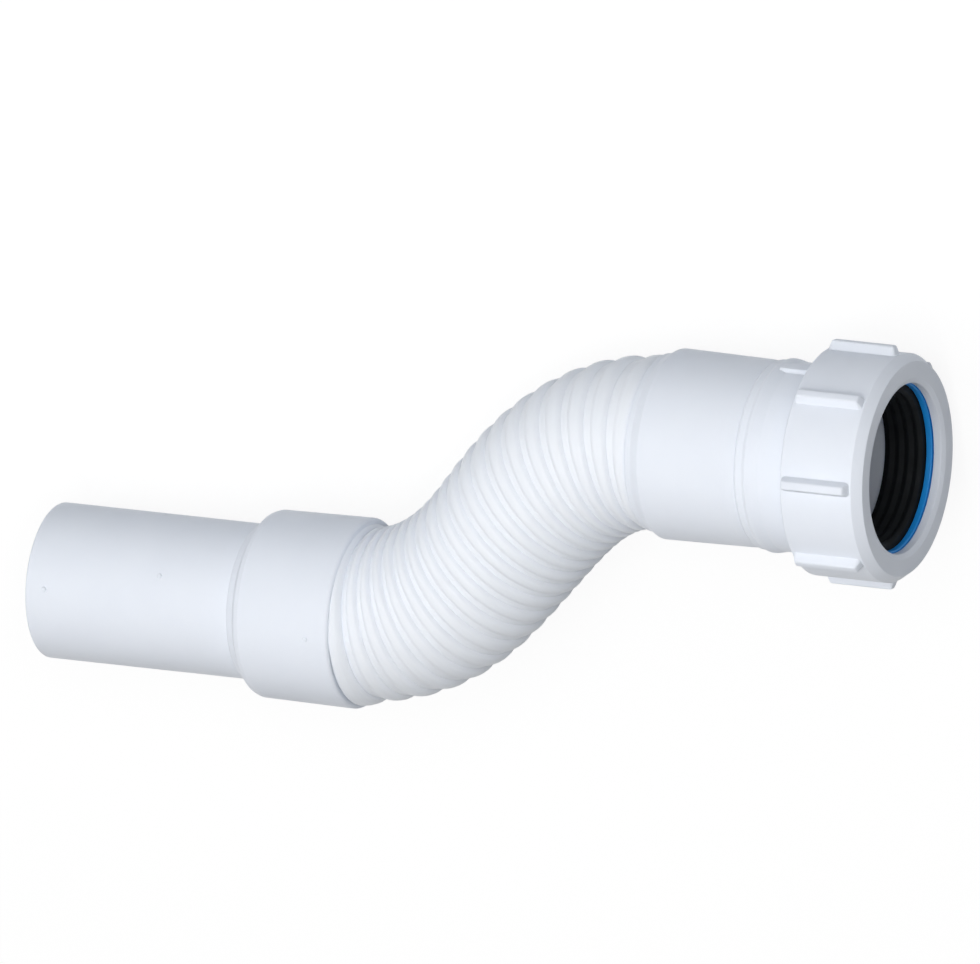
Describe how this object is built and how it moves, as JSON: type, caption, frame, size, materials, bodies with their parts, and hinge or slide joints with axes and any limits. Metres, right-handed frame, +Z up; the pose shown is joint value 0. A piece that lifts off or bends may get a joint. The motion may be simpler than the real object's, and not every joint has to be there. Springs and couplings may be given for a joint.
{
  "type": "flexible waste connector",
  "caption": "Flexible waste connector: plain pipe spigot, corrugated hose bent into an S, and a compression socket with a lugged nut, slip ring and rubber seal.",
  "frame": {"origin": "middle of the object's outline seen from above, on the surface it lies on", "axes": "+X from the spigot's open end to the nut's face, level; both end axes rise 6.3 degrees along it; +Y sideways, from the spigot's axis to the nut's axis; +Z up"},
  "size_m": [0.248, 0.1088, 0.0621],
  "materials": {
    "fitting_plastic": "satin, moulded white polypropylene",
    "hose_plastic": "satin, blow-moulded white polypropylene",
    "seal_rubber": "moulded black rubber",
    "ring_plastic": "moulded blue polyethylene"
  },
  "bodies": {
    "socket": {"socket_body": "fitting_plastic", "cuff_sleeve": "fitting_plastic", "seal": "seal_rubber"},
    "hose": {"flexible_hose": "hose_plastic"},
    "spigot": {"spigot_tail": "fitting_plastic"},
    "ring": {"slip_ring": "ring_plastic"},
    "nut": {"compression_nut": "fitting_plastic"}
  },
  "joints": [
    {"name": "hose_bend_at_cuff", "type": "hinge", "parent": "socket", "child": "hose", "pos_m": [0.03112, 0.02418, 0.02266], "axis": [-0.1055, 0.2487, 0.9628], "range_deg": [-108, 8], "deforming": ["flexible_hose"]},
    {"name": "hose_bend_at_collar", "type": "hinge", "parent": "hose", "child": "spigot", "pos_m": [-0.01611, -0.02985, 0.03144], "axis": [-0.1055, 0.2487, 0.9628], "range_deg": [-8, 108], "deforming": ["flexible_hose"]},
    {"name": "nut_travel", "type": "slide", "parent": "socket", "child": "ring", "axis": [0.9941, 0, 0.1089], "range_m": [0, 0.012]},
    {"name": "nut_turn", "type": "hinge", "parent": "ring", "child": "nut", "pos_m": [0.10997, 0.02418, 0.0313], "axis": [0.9941, 0, 0.1089], "range_deg": [0, 1440]}
  ],
  "couplings": [
    {"joint": "nut_travel", "follows": "nut_turn", "m_per_rad": 0.00047746}
  ]
}
